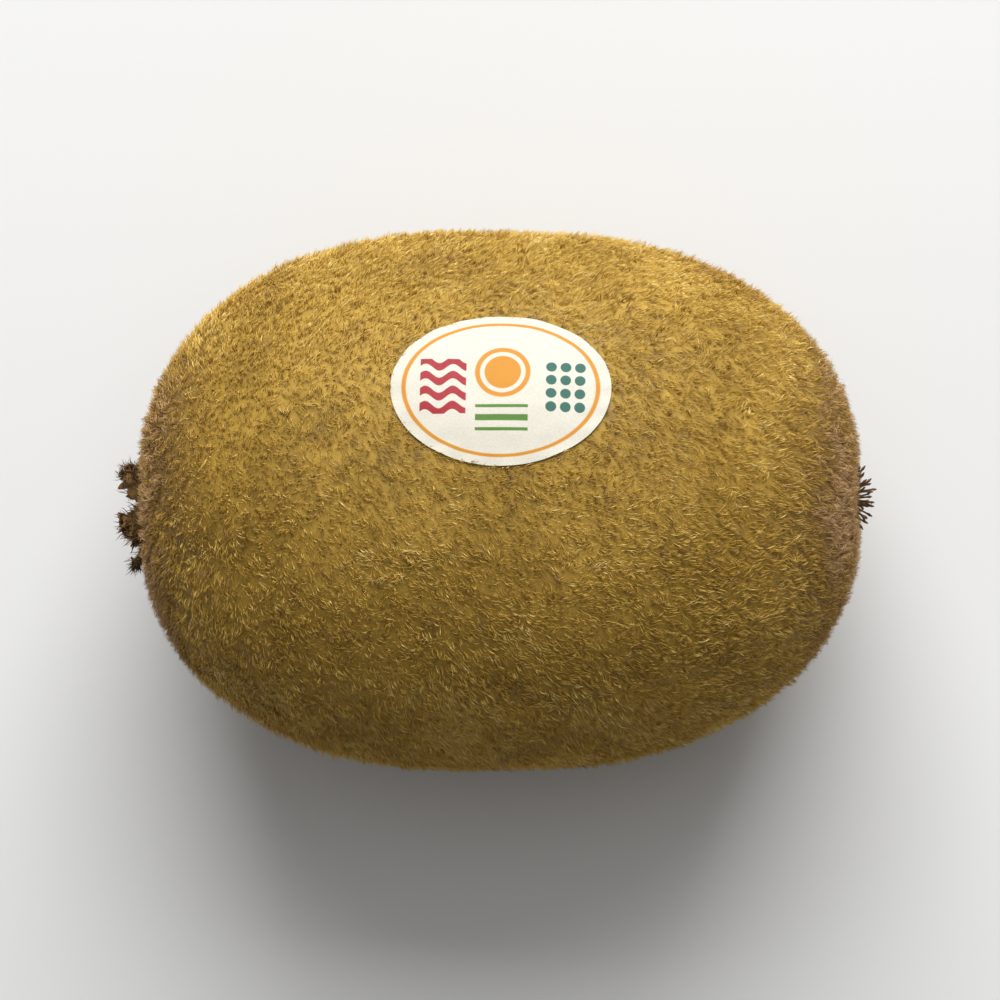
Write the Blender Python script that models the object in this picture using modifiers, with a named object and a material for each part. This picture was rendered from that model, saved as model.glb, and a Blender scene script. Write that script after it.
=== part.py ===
"""A golden kiwi fruit lying on its side, with its dried calyx, its dried styles and a plain oval label.

Metres, +Z up. X runs along the fruit, with the stem end at -X and the blossom end at +X.
The origin is at the bottom centre of the whole object's box, on the surface it rests on.
"""

import math
import random

import bmesh
import bpy
from mathutils import Matrix, Vector

MM = 0.001
GAP = 0.3 * MM  # left between pieces that touch

# The fruit: a long rounded barrel, a little wider than it is thick
LENGTH = 77 * MM  # before the hollow at each end takes half a millimetre off it
WIDTH = 57.5 * MM
THICKNESS = 54.5 * MM
SQUARENESS = 2.4  # exponent of the outline, where 2 is an ellipse
BLOSSOM_TAPER = 0.018  # share by which the blossom half is slimmer than the middle
LOBE_SHARE = 0.008  # share by which the three faint lobes swell the section
LOBES = 3
LOBE_TURN = math.radians(40)
SIDES = 64
RINGS = 52
POLE_CROWDING = 0.7  # 0 spaces the rings evenly, towards 1 they crowd at the ends
REST_SPOT_DEPTH = 0.5 * MM  # what the flat spot takes off the underside

# The hollow that each end has round its dried remains
STEM_HOLLOW_DEPTH = 1.5 * MM
STEM_HOLLOW_REACH = 5.0 * MM
STEM_SIDE = -1.6 * MM  # how far in Y the stem end's hollow and calyx sit from the axis
BLOSSOM_HOLLOW_DEPTH = 1.4 * MM
BLOSSOM_HOLLOW_REACH = 3.2 * MM

# The calyx: the corky scar of the stalk, and five dry sepals that curl away from the shoulder
SCAR_RADIUS = 2.7 * MM
SCAR_HEIGHT = 1.5 * MM
SCAR_RIM = 0.7 * MM
SCAR_CUP = 0.5 * MM
SCAR_SIDES = 28
SEPALS = 5
SEPAL_ROOT = 1.3 * MM  # distance from the axis, inside the scar
SEPAL_LENGTH = 5.6 * MM
SEPAL_HALF_WIDTH = 2.0 * MM
SEPAL_THICKNESS = 0.6 * MM
SEPAL_CURL = 1.7 * MM
SEPAL_CUP = 0.7 * MM
SEPAL_TURN = math.radians(-22)  # of the first sepal, from the top of the fruit towards +Y
SEPAL_STEPS = 8
SEPAL_STRIPS = 6

# The dried styles: a small disc set with a tuft of blunt bristles
TUFT_RADIUS = 1.9 * MM
TUFT_HEIGHT = 1.5 * MM
STYLES = 26
STYLE_LENGTH = 2.7 * MM
STYLE_ROOT_RADIUS = 0.30 * MM
STYLE_TIP_RADIUS = 0.20 * MM
STYLE_SIDES = 5
STYLE_LEAN = (math.radians(8), math.radians(64))  # at the middle and at the edge
GOLDEN_ANGLE = math.radians(137.508)

# The label: a thin oval that follows the skin
LABEL_LENGTH = 23 * MM
LABEL_WIDTH = 17 * MM
LABEL_THICKNESS = 0.3 * MM
LABEL_ALONG = 1.8 * MM  # from the fruit's middle towards the blossom end
LABEL_LEAN = math.radians(22)  # from the top of the fruit towards +Y
LABEL_COLUMNS = 16
LABEL_ROWS = 12

SKIN_COLOUR = (150, 118, 58)
CALYX_COLOUR = (62, 46, 30)
STYLE_COLOUR = (46, 33, 22)
LABEL_COLOUR = (236, 233, 224)

# Local +Z points out of the fruit at each end, and local +X points up
STEM_END = Matrix(((0, 0, -1), (0, 1, 0), (1, 0, 0))).to_4x4()
BLOSSOM_END = Matrix(((0, 0, 1), (0, -1, 0), (1, 0, 0))).to_4x4()


def clear_scene():
    for item in list(bpy.data.objects):
        bpy.data.objects.remove(item)


def linear(value):
    share = value / 255
    return share / 12.92 if share <= 0.04045 else ((share + 0.055) / 1.055) ** 2.4


def plain_material(name, colour, roughness):
    material = bpy.data.materials.new(name)
    material.use_nodes = True
    shader = material.node_tree.nodes["Principled BSDF"]
    shader.inputs["Base Color"].default_value = (*map(linear, colour), 1)
    shader.inputs["Roughness"].default_value = roughness
    shader.inputs["Metallic"].default_value = 0
    return material


def new_collection(name):
    collection = bpy.data.collections.new(name)
    bpy.context.scene.collection.children.link(collection)
    return collection


def object_from(shape, name, collection, material=None):
    """Makes a bmesh an object of its own in the collection."""
    mesh = bpy.data.meshes.new(name)
    shape.to_mesh(mesh)
    shape.free()
    made = bpy.data.objects.new(name, mesh)
    collection.objects.link(made)
    if material is not None:
        mesh.materials.append(material)
    return made


def apply_modifiers(item):
    bpy.context.view_layer.update()
    graph = bpy.context.evaluated_depsgraph_get()
    finished = bpy.data.meshes.new_from_object(item.evaluated_get(graph))
    item.modifiers.clear()
    item.data = finished


def join_with(item, pieces):
    """Joins a collection's objects to the item by one union, and removes them."""
    union = item.modifiers.new("union", "BOOLEAN")
    union.operation = "UNION"
    union.operand_type = "COLLECTION"
    union.collection = pieces
    union.solver = "EXACT"
    apply_modifiers(item)
    for piece in list(pieces.objects):
        bpy.data.objects.remove(piece)
    bpy.data.collections.remove(pieces)


def shade_smooth(item, crease_degrees=40):
    item.data.shade_smooth()
    item.data.set_sharp_from_angle(angle=math.radians(crease_degrees))


def outline_reach(radius):
    """How far from the middle the fruit's end reaches at this distance from its axis."""
    share = min(radius / (WIDTH / 2), 1)
    return LENGTH / 2 * (1 - share**SQUARENESS) ** (1 / SQUARENESS)


def stem_hollow(radius):
    return STEM_HOLLOW_DEPTH * math.exp(-((radius / STEM_HOLLOW_REACH) ** 2))


def blossom_hollow(radius):
    return BLOSSOM_HOLLOW_DEPTH * math.exp(-((radius / BLOSSOM_HOLLOW_REACH) ** 2))


def fruit_point(direction):
    """The place on the skin for a point of the unit sphere whose poles lie on X."""
    even = math.acos(max(-1, min(1, direction.x)))
    polar = even - POLE_CROWDING * math.sin(2 * even) / 2
    around = math.atan2(direction.z, direction.y)
    power = 2 / SQUARENESS
    along = math.copysign(abs(math.cos(polar)) ** power, math.cos(polar))
    across = max(math.sin(polar), 0) ** power
    lobes = LOBE_SHARE * math.cos(LOBES * (around + LOBE_TURN)) * math.sin(polar) ** 2
    swell = (1 + lobes) * (1 - BLOSSOM_TAPER * along)
    y = WIDTH / 2 * across * swell * math.cos(around)
    z = THICKNESS / 2 * across * swell * math.sin(around)
    if along > 0:
        return Vector((LENGTH / 2 * along - blossom_hollow(math.hypot(y, z)), y, z))
    return Vector((LENGTH / 2 * along + stem_hollow(math.hypot(y - STEM_SIDE, z)), y, z))


def make_fruit(parts):
    """One solid: a sphere drawn out to the fruit's shape, with a small flat spot to lie on."""
    shape = bmesh.new()
    bmesh.ops.create_uvsphere(shape, u_segments=SIDES, v_segments=RINGS, radius=1)
    bmesh.ops.rotate(shape, verts=shape.verts, matrix=Matrix.Rotation(math.pi / 2, 3, "Y"))
    for vert in shape.verts:
        vert.co = fruit_point(vert.co.normalized())
    floor = Vector((0, 0, -THICKNESS / 2 + REST_SPOT_DEPTH))
    cut = bmesh.ops.bisect_plane(
        shape,
        geom=shape.verts[:] + shape.edges[:] + shape.faces[:],
        plane_co=floor,
        plane_no=(0, 0, -1),
        clear_outer=True,
    )
    rim = [part for part in cut["geom_cut"] if isinstance(part, bmesh.types.BMEdge)]
    bmesh.ops.contextual_create(shape, geom=rim)
    bmesh.ops.recalc_face_normals(shape, faces=shape.faces)
    fruit = object_from(shape, "fruit", parts, plain_material("skin", SKIN_COLOUR, 0.75))
    shade_smooth(fruit)
    return fruit


def end_frame(axes, side=0):
    """Where an end's own frame stands: at the barrel's end, this far in Y from its axis."""
    return Matrix.Translation(axes.to_3x3() @ Vector((0, 0, LENGTH / 2)) + Vector((0, side, 0))) @ axes


def make_scar(parts):
    """The corky scar, turned: a low button with a raised rim round a shallow cup."""
    floor = -STEM_HOLLOW_DEPTH + GAP
    top = floor + SCAR_HEIGHT
    profile = [
        (0, top - SCAR_CUP),
        (SCAR_RADIUS - SCAR_RIM - 0.5 * MM, top - SCAR_CUP),
        (SCAR_RADIUS - SCAR_RIM, top),
        (SCAR_RADIUS - 0.2 * MM, top),
        (SCAR_RADIUS, top - 0.3 * MM),
        (SCAR_RADIUS, floor + 0.5 * MM),
        (SCAR_RADIUS - 0.4 * MM, floor),
        (0, floor),
    ]
    shape = bmesh.new()
    verts = [shape.verts.new((radius, 0, height)) for radius, height in profile]
    for first, second in zip(verts, verts[1:]):
        shape.edges.new((first, second))
    scar = object_from(shape, "calyx", parts, plain_material("dry_calyx", CALYX_COLOUR, 0.85))
    turn = scar.modifiers.new("turn", "SCREW")
    turn.steps = SCAR_SIDES
    turn.render_steps = SCAR_SIDES
    turn.use_merge_vertices = True
    turn.merge_threshold = 0.01 * MM
    apply_modifiers(scar)
    return scar


def sepal_half_width(share, ragged):
    """A leaf's outline: narrow at the root, pointed at the tip, with a torn edge."""
    leaf = math.sin(math.pi * (0.08 + 0.87 * share)) ** 0.9
    return SEPAL_HALF_WIDTH * leaf * (1 + 0.15 * share * math.sin(15 * share + ragged))


def sepal_place(share, side, curl, ragged):
    """A point of a sepal in the stem end's frame: share runs root to tip, side from -1 to 1."""
    out = SEPAL_ROOT + SEPAL_LENGTH * share
    across = side * sepal_half_width(share, ragged)
    radius = math.hypot(out, across)
    skin = outline_reach(radius) - LENGTH / 2 - stem_hollow(radius)
    lift = curl * share**2.2 + SEPAL_CUP * (across / SEPAL_HALF_WIDTH) ** 2
    root_lift = 0.15 * MM * (1 - share)
    return Vector((out, across, skin + GAP + root_lift + lift))


def make_sepal(pieces, number, chance):
    shape = bmesh.new()
    bmesh.ops.create_grid(shape, x_segments=SEPAL_STEPS, y_segments=SEPAL_STRIPS, size=1)
    curl = SEPAL_CURL * chance.uniform(0.75, 1.1)
    ragged = chance.uniform(0, math.tau)
    for vert in shape.verts:
        vert.co = sepal_place((vert.co.x + 1) / 2, vert.co.y, curl, ragged)
    turn = SEPAL_TURN + math.tau * (number + 0.04 * chance.uniform(-1, 1)) / SEPALS
    bmesh.ops.rotate(shape, verts=shape.verts, matrix=Matrix.Rotation(turn, 3, "Z"))
    sepal = object_from(shape, f"sepal_{number}", pieces)
    wall = sepal.modifiers.new("wall", "SOLIDIFY")
    wall.thickness = SEPAL_THICKNESS
    wall.offset = 1
    apply_modifiers(sepal)
    return sepal


def make_calyx(parts):
    """The scar and the five sepals, one body."""
    chance = random.Random(5)
    calyx = make_scar(parts)
    pieces = new_collection("sepals")
    for number in range(SEPALS):
        make_sepal(pieces, number, chance)
    join_with(calyx, pieces)
    shade_smooth(calyx)
    calyx.matrix_world = end_frame(STEM_END, STEM_SIDE)
    return calyx


def make_style(pieces, number, chance):
    """One bristle. They stand on a spiral, upright in the middle and leaning out at the edge."""
    share = math.sqrt((number + 0.5) / STYLES)
    turn = number * GOLDEN_ANGLE
    lean = STYLE_LEAN[0] + (STYLE_LEAN[1] - STYLE_LEAN[0]) * share
    lean += math.radians(chance.uniform(-6, 6))
    length = STYLE_LENGTH * chance.uniform(0.8, 1.1)
    shape = bmesh.new()
    bmesh.ops.create_cone(
        shape,
        cap_ends=True,
        segments=STYLE_SIDES,
        radius1=STYLE_ROOT_RADIUS,
        radius2=STYLE_TIP_RADIUS,
        depth=length,
        matrix=Matrix.Translation((0, 0, length / 2)),
    )
    root = Vector((0.72 * TUFT_RADIUS * share, 0, -BLOSSOM_HOLLOW_DEPTH + GAP + 0.45 * TUFT_HEIGHT))
    place = Matrix.Rotation(turn, 4, "Z") @ Matrix.Translation(root) @ Matrix.Rotation(lean, 4, "Y")
    bmesh.ops.transform(shape, verts=shape.verts, matrix=place)
    return object_from(shape, f"style_{number}", pieces)


def make_styles(parts):
    """The small disc in the blossom end's hollow and its tuft of dried styles, one body."""
    chance = random.Random(11)
    shape = bmesh.new()
    floor = -BLOSSOM_HOLLOW_DEPTH + GAP
    bmesh.ops.create_cone(
        shape,
        cap_ends=True,
        segments=20,
        radius1=TUFT_RADIUS * 0.8,
        radius2=TUFT_RADIUS * 0.65,
        depth=TUFT_HEIGHT,
        matrix=Matrix.Translation((0, 0, floor + TUFT_HEIGHT / 2)),
    )
    styles = object_from(shape, "styles", parts, plain_material("dry_styles", STYLE_COLOUR, 0.8))
    pieces = new_collection("style bristles")
    for number in range(STYLES):
        make_style(pieces, number, chance)
    join_with(styles, pieces)
    shade_smooth(styles)
    styles.matrix_world = end_frame(BLOSSOM_END)
    return styles


def make_label(parts, fruit):
    """A flat oval laid over the fruit's upper side, and pressed down to just above its skin."""
    shape = bmesh.new()
    bmesh.ops.create_grid(shape, x_segments=LABEL_COLUMNS, y_segments=LABEL_ROWS, size=1)
    for vert in shape.verts:
        u, v = vert.co.x, vert.co.y
        vert.co.x = LABEL_LENGTH / 2 * u * math.sqrt(1 - v * v / 2)
        vert.co.y = LABEL_WIDTH / 2 * v * math.sqrt(1 - u * u / 2)
    label = object_from(shape, "label", parts, plain_material("label", LABEL_COLOUR, 0.4))
    above = Matrix.Rotation(-LABEL_LEAN, 4, "X") @ Matrix.Translation((LABEL_ALONG, 0, THICKNESS))
    label.matrix_world = above
    wrap = label.modifiers.new("press onto the skin", "SHRINKWRAP")
    wrap.target = fruit
    wrap.wrap_method = "PROJECT"
    wrap.wrap_mode = "ABOVE_SURFACE"
    wrap.use_project_z = True
    wrap.use_negative_direction = True
    wrap.use_positive_direction = False
    wrap.offset = GAP + 0.05 * MM
    wall = label.modifiers.new("wall", "SOLIDIFY")
    wall.thickness = LABEL_THICKNESS
    wall.offset = 1
    apply_modifiers(label)
    shade_smooth(label)
    return label


def stand_on_origin(items):
    """Moves all the pieces together, so that the origin is at the bottom centre of their box."""
    bpy.context.view_layer.update()
    corners = [item.matrix_world @ vert.co for item in items for vert in item.data.vertices]
    low = Vector(map(min, zip(*corners)))
    high = Vector(map(max, zip(*corners)))
    frame = bpy.data.objects.new("kiwi_frame", None)
    items[0].users_collection[0].objects.link(frame)
    for item in items:
        item.parent = frame
    frame.location = (-(low.x + high.x) / 2, -(low.y + high.y) / 2, -low.z)


clear_scene()
kiwi = new_collection("golden kiwi fruit")
fruit = make_fruit(kiwi)
stand_on_origin([fruit, make_calyx(kiwi), make_styles(kiwi), make_label(kiwi, fruit)])
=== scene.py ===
import math
import random

import bmesh
import bpy
import numpy as np
from mathutils import Matrix, Vector, kdtree, noise


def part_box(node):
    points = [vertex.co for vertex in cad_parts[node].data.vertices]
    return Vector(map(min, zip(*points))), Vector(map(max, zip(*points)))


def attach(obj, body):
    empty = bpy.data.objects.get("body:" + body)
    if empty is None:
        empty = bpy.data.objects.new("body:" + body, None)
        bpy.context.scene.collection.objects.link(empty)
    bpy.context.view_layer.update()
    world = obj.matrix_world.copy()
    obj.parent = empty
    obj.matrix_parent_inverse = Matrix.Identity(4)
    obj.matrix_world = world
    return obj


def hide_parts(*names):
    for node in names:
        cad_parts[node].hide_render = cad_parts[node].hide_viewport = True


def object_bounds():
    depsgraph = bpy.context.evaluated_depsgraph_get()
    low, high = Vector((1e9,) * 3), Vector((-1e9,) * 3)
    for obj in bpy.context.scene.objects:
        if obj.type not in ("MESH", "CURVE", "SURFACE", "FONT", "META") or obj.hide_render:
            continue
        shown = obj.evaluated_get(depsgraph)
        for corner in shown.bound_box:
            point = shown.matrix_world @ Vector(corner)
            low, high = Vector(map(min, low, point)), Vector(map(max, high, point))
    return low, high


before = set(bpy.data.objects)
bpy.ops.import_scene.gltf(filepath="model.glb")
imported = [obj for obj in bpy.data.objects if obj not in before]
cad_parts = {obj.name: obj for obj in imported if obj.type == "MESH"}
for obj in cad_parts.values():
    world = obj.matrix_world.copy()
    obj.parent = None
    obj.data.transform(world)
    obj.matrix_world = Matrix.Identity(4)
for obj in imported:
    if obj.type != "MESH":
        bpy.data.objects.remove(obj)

MM = 0.001
cad_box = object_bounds()
bpy.ops.object.select_all(action="DESELECT")


# The skin: the thin leathery peel of the fruit, golden olive brown under its down, with the flesh
# behind it. It is one closed piece, a ball of even squares that is wrapped onto the fruit's solid,
# smoothed, and given the shallow dips of a real peel. It lies on a small flat spot.

SKIN_CUTS = 95  # across each side of the cube that becomes the ball
SKIN_OVERSIZE = 1.05  # the ball starts this much bigger than the fruit, and is wrapped down onto it
SKIN_SOOTHING = 4  # rounds of smoothing, which even out the solid's flat facets
DIP_SIZE = 9 * MM
DIP_DEPTH = 0.5 * MM
PORE_SIZE = 1.6 * MM
PORE_DEPTH = 0.1 * MM

PATCH_SCALE = 110  # noise scales of the peel's colour, from broad patches to fine grain
MOTTLE_SCALE = 700
GRAIN_SCALE = 3200
SPECK_SCALE = 900
SPECK_SIZE = (0.14, 0.30)  # where a speck is brownest and where it ends, as shares of its cell
SPECK_STRENGTH = 0.5
END_BROWN_STRENGTH = 0.75
PEEL_ROUGHNESS = (0.55, 0.8)
PEEL_RELIEF_MM = 0.12

SKIN_DARK = (132, 103, 38)
SKIN_OLIVE = (159, 127, 48)
SKIN_GOLD = (182, 147, 62)
SPECK_BROWN = (76, 54, 24)
END_BROWN = (122, 92, 56)
END_BROWN_FROM = 29 * MM  # along X from the middle, where the peel begins to turn brown
END_BROWN_FULL = 37.5 * MM


def linear(colour):
    """An 8-bit screen colour as the linear values that a shader takes."""
    shares = [value / 255 for value in colour]
    return (*(s / 12.92 if s <= 0.04045 else ((s + 0.055) / 1.055) ** 2.4 for s in shares), 1)


def node_of(tree, kind, inputs=None, **settings):
    """Adds a shader node, with its settings, and links or sets its inputs."""
    made = tree.nodes.new(kind)
    for name, value in settings.items():
        setattr(made, name, value)
    for socket, value in (inputs or {}).items():
        if isinstance(value, bpy.types.NodeSocket):
            tree.links.new(value, made.inputs[socket])
        else:
            made.inputs[socket].default_value = value
    return made


def ramp_of(tree, factor, stops):
    """A colour ramp: stops are places from 0 to 1 and their screen colours."""
    ramp = node_of(tree, "ShaderNodeValToRGB", {"Fac": factor})
    while len(ramp.color_ramp.elements) < len(stops):
        ramp.color_ramp.elements.new(0.5)
    for element, (place, colour) in zip(ramp.color_ramp.elements, stops):
        element.position = place
        element.color = linear(colour)
    return ramp.outputs["Color"]


def mixed(tree, factor, first, second):
    """Mixes two colours. factor, first and second are sockets or values."""
    mix = node_of(tree, "ShaderNodeMix", {0: factor, 6: first, 7: second}, data_type="RGBA")
    return mix.outputs[2]


def ranged(tree, value, low, high, to_low=0.0, to_high=1.0):
    inputs = {"Value": value, "From Min": low, "From Max": high, "To Min": to_low, "To Max": to_high}
    return node_of(tree, "ShaderNodeMapRange", inputs).outputs["Result"]


def noise_of(tree, place, scale, detail=3.0, roughness=0.55):
    inputs = {"Vector": place, "Scale": scale, "Detail": detail, "Roughness": roughness}
    return node_of(tree, "ShaderNodeTexNoise", inputs).outputs["Fac"]


def math_of(tree, operation, *values):
    return node_of(tree, "ShaderNodeMath", dict(enumerate(values)), operation=operation).outputs[0]


def start_material(name):
    """A new material's node tree and its object coordinates."""
    material = bpy.data.materials.new(name)
    material.use_nodes = True
    place = node_of(material.node_tree, "ShaderNodeTexCoord").outputs["Object"]
    return material.node_tree, place


def finish_material(name, colour, roughness, height=None, height_mm=0.0, **sockets):
    """Closes a material: its colour, roughness and relief go to the Principled shader."""
    material = bpy.data.materials[name]
    tree = material.node_tree
    shader = tree.nodes["Principled BSDF"]
    tree.links.new(colour, shader.inputs["Base Color"])
    if isinstance(roughness, bpy.types.NodeSocket):
        tree.links.new(roughness, shader.inputs["Roughness"])
    else:
        shader.inputs["Roughness"].default_value = roughness
    if height is not None:
        inputs = {"Height": height, "Distance": height_mm * MM, "Strength": 1.0}
        bump = node_of(tree, "ShaderNodeBump", inputs)
        tree.links.new(bump.outputs["Normal"], shader.inputs["Normal"])
    for socket, value in sockets.items():
        shader.inputs[socket.replace("_", " ")].default_value = value
    return material


def welded_copy(node, name):
    """A copy of a CAD node with its loose triangles merged, for a piece to be wrapped onto."""
    form = bpy.data.objects.new(name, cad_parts[node].data.copy())
    bpy.context.scene.collection.objects.link(form)
    shape = bmesh.new()
    shape.from_mesh(form.data)
    bmesh.ops.remove_doubles(shape, verts=shape.verts, dist=0.001 * MM)
    shape.to_mesh(form.data)
    shape.free()
    return form


def cloud(name, size, depth=2):
    """A soft noise for a Displace modifier, with lumps of this size."""
    texture = bpy.data.textures.new(name, "CLOUDS")
    texture.noise_scale = size
    texture.noise_depth = depth
    return texture


def add_modifier(piece, kind, **settings):
    modifier = piece.modifiers.new(kind.lower(), kind)
    for name, value in settings.items():
        setattr(modifier, name, value)


def apply_modifiers(piece):
    bpy.context.view_layer.objects.active = piece
    for modifier in list(piece.modifiers):
        bpy.ops.object.modifier_apply(modifier=modifier.name)


def points_of(mesh):
    points = np.empty(len(mesh.vertices) * 3)
    mesh.vertices.foreach_get("co", points)
    return points.reshape(-1, 3)


def set_points(mesh, points):
    mesh.vertices.foreach_set("co", np.asarray(points, dtype=float).ravel())
    mesh.update()


def hand_over(piece, material, slot, *nodes):
    """Gives a finished piece its material and its body, and hides the CAD nodes that it stands for."""
    piece.data.materials.clear()
    piece.data.materials.append(material)
    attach(piece, "root")
    if nodes:
        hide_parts(*nodes)


fruit_low, fruit_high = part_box("fruit")
fruit_middle = (fruit_low + fruit_high) / 2
fruit_half = (fruit_high - fruit_low) / 2
fruit_form = welded_copy("fruit", "fruit_form")

bpy.ops.mesh.primitive_cube_add(size=2)
skin = bpy.context.object
skin.name = "skin"
bpy.ops.object.mode_set(mode="EDIT")
bpy.ops.mesh.select_all(action="SELECT")
bpy.ops.mesh.subdivide(number_cuts=SKIN_CUTS)
bpy.ops.transform.tosphere(value=1)
bpy.ops.object.mode_set(mode="OBJECT")
ball_radius = skin.data.vertices[0].co.length
fitted = Matrix.Diagonal((*(fruit_half * SKIN_OVERSIZE / ball_radius), 1))
skin.data.transform(Matrix.Translation(fruit_middle) @ fitted)

add_modifier(
    skin,
    "SHRINKWRAP",
    target=fruit_form,
    wrap_method="PROJECT",
    wrap_mode="ON_SURFACE",
    use_negative_direction=True,
    use_positive_direction=True,
)
add_modifier(skin, "SMOOTH", factor=0.5, iterations=SKIN_SOOTHING)
add_modifier(skin, "DISPLACE", texture=cloud("dips", DIP_SIZE), strength=DIP_DEPTH, mid_level=0.5)
add_modifier(skin, "DISPLACE", texture=cloud("pores", PORE_SIZE), strength=PORE_DEPTH, mid_level=0.5)
apply_modifiers(skin)
resting = points_of(skin.data)
resting[:, 2] = np.maximum(resting[:, 2], 0)
set_points(skin.data, resting)
skin.data.shade_smooth()

tree, place = start_material("olive peel")
patches = noise_of(tree, place, PATCH_SCALE, 4)
mottle = noise_of(tree, place, MOTTLE_SCALE, 3)
grain = noise_of(tree, place, GRAIN_SCALE, 2)
tone = mixed(tree, 0.45, patches, mottle)
peel_colour = ramp_of(tree, tone, [(0.36, SKIN_DARK), (0.5, SKIN_OLIVE), (0.66, SKIN_GOLD)])
inputs = {"Vector": place, "Scale": SPECK_SCALE, "Randomness": 1.0}
from_speck = node_of(tree, "ShaderNodeTexVoronoi", inputs).outputs["Distance"]
specks = ranged(tree, from_speck, *SPECK_SIZE, SPECK_STRENGTH, 0.0)
peel_colour = mixed(tree, specks, peel_colour, linear(SPECK_BROWN))
from_middle = math_of(tree, "ABSOLUTE", node_of(tree, "ShaderNodeSeparateXYZ", {0: place}).outputs["X"])
end_tint = ranged(tree, from_middle, END_BROWN_FROM, END_BROWN_FULL, 0.0, END_BROWN_STRENGTH)
peel_colour = mixed(tree, end_tint, peel_colour, linear(END_BROWN))
olive_peel = finish_material(
    "olive peel",
    peel_colour,
    ranged(tree, mottle, 0.3, 0.7, *PEEL_ROUGHNESS),
    mixed(tree, 0.5, mottle, grain),
    PEEL_RELIEF_MM,
    Specular_IOR_Level=0.35,
)
hand_over(skin, olive_peel, "skin", "fruit")


# The label: an oval of thin satin film, printed and glued on the upper side of the fruit. A flat
# grid is drawn out to the oval, pressed down onto the skin, and given its thickness. Its rim has the
# small puckers of a flat film on a round fruit. The plain shapes of the print lie on its own map.

AXIS_HEIGHT = 26.75 * MM  # of the fruit's long axis, above the surface it lies on
AXIS_SIDE = 0.115 * MM  # how far in Y that axis lies from the middle of the frame
LABEL_LENGTH = 23 * MM
LABEL_WIDTH = 17 * MM
LABEL_LEAN = math.radians(22)  # from the top of the fruit towards +Y
LABEL_CENTRE_X = 1.7 * MM
PRESSED_FROM = 40 * MM  # above the long axis, where the flat label starts on its way to the skin
FILM_LIFT = 0.16 * MM  # above the skin, on the down that it presses flat
FILM_THICKNESS = 0.1 * MM
PUCKERS = 17
PUCKER_HEIGHT = 0.13 * MM
PUCKER_START = 0.8  # of the way from the label's middle to its edge
PUCKER_BAND = 0.2  # of that way, up to the edge

INK_EDGE = 0.04  # how softly the printed shapes end, in millimetres
RIM_LINE = (0.86, 0.90)  # of the way from the middle to the label's edge
RIM_EDGE = 0.006  # how softly the line ends, as a share of that way
SUN_CENTRE = (0.2, 1.6)  # places of the print, in millimetres from the label's middle
SUN_RADIUS = 2.9
SUN_DISC = 0.66  # of that radius
SUN_RING = (0.82, 1.0)
SUN_EDGE = 0.02
WAVE_BOX = (-8.4, -3.6, -3.1, 3.1)
WAVE_SWELL = 0.4
WAVE_PACE = 2.2  # radians of each swell in a millimetre
WAVE_SPACING = 1.7
WAVE_GAP = 0.4  # half of the film left bare between two waves
DOT_BOX = (4.4, 9.1, -3.05, 3.05)
DOT_SPACING = 1.5
DOT_RADIUS = 0.56
DOT_EDGE = 0.06  # of that radius
BAR_BOX = (-2.6, 2.9, -4.9, -2.1)
BAR_SPACING = 1.4
BAR_GAP = 0.36  # half of the film left bare between two bars

FILM_WHITE = (202, 198, 184)
FILM_SHADE = (188, 183, 167)
FILM_GRAIN_SCALE = 5200
FILM_ROUGHNESS = (0.44, 0.56)
FILM_RELIEF_MM = 0.015
PRINT_GREEN = (72, 114, 34)
PRINT_TEAL = (34, 88, 76)
PRINT_GOLD = (188, 124, 12)
PRINT_RED = (148, 20, 34)

label_place = Matrix.Translation((LABEL_CENTRE_X, AXIS_SIDE, AXIS_HEIGHT))
label_frame = label_place @ Matrix.Rotation(-LABEL_LEAN, 4, "X")

bpy.ops.mesh.primitive_grid_add(x_subdivisions=56, y_subdivisions=42, size=2)
label = bpy.context.object
label.name = "oval_label"
flat = points_of(label.data)
u, v = flat[:, 0].copy(), flat[:, 1].copy()
flat[:, 0] = LABEL_LENGTH / 2 * u * np.sqrt(1 - v * v / 2)
flat[:, 1] = LABEL_WIDTH / 2 * v * np.sqrt(1 - u * u / 2)
print_map = label.data.uv_layers.active
print_map.name = "OFBake"
corner_points = np.empty(len(label.data.loops), dtype=int)
label.data.loops.foreach_get("vertex_index", corner_points)
flat_map = flat[:, :2] / (LABEL_LENGTH, LABEL_WIDTH) + 0.5
print_map.data.foreach_set("uv", flat_map[corner_points].ravel())
flat[:, 2] = PRESSED_FROM
set_points(label.data, flat)
label.data.transform(label_frame)

to_edge = np.hypot(flat_map[:, 0] - 0.5, flat_map[:, 1] - 0.5) * 2
rim = np.clip((to_edge - PUCKER_START) / PUCKER_BAND, 0, 1) ** 2
turn = np.arctan2(flat_map[:, 1] - 0.5, flat_map[:, 0] - 0.5)
uneven_turn = PUCKERS * turn + 2 * np.sin(3 * turn)
pucker = rim * PUCKER_HEIGHT * (0.6 + 0.4 * np.sin(uneven_turn))
down = -(label_frame.to_3x3() @ Vector((0, 0, 1)))
wrapped = points_of(label.data)
for number, point in enumerate(wrapped):
    place_on_skin, normal = skin.ray_cast(Vector(point), down)[1:3]
    wrapped[number] = place_on_skin + normal * (FILM_LIFT + pucker[number])
set_points(label.data, wrapped)
add_modifier(label, "SOLIDIFY", thickness=FILM_THICKNESS, offset=1)
apply_modifiers(label)
label.data.shade_smooth()
label.data.set_sharp_from_angle(angle=math.radians(50))


def between(tree, value, low, high, soft):
    """1 where value lies between low and high, with an edge this soft, as of ink on film."""
    rising = ranged(tree, value, low - soft, low + soft)
    falling = ranged(tree, value, high - soft, high + soft, 1.0, 0.0)
    return math_of(tree, "MULTIPLY", rising, falling)


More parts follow.
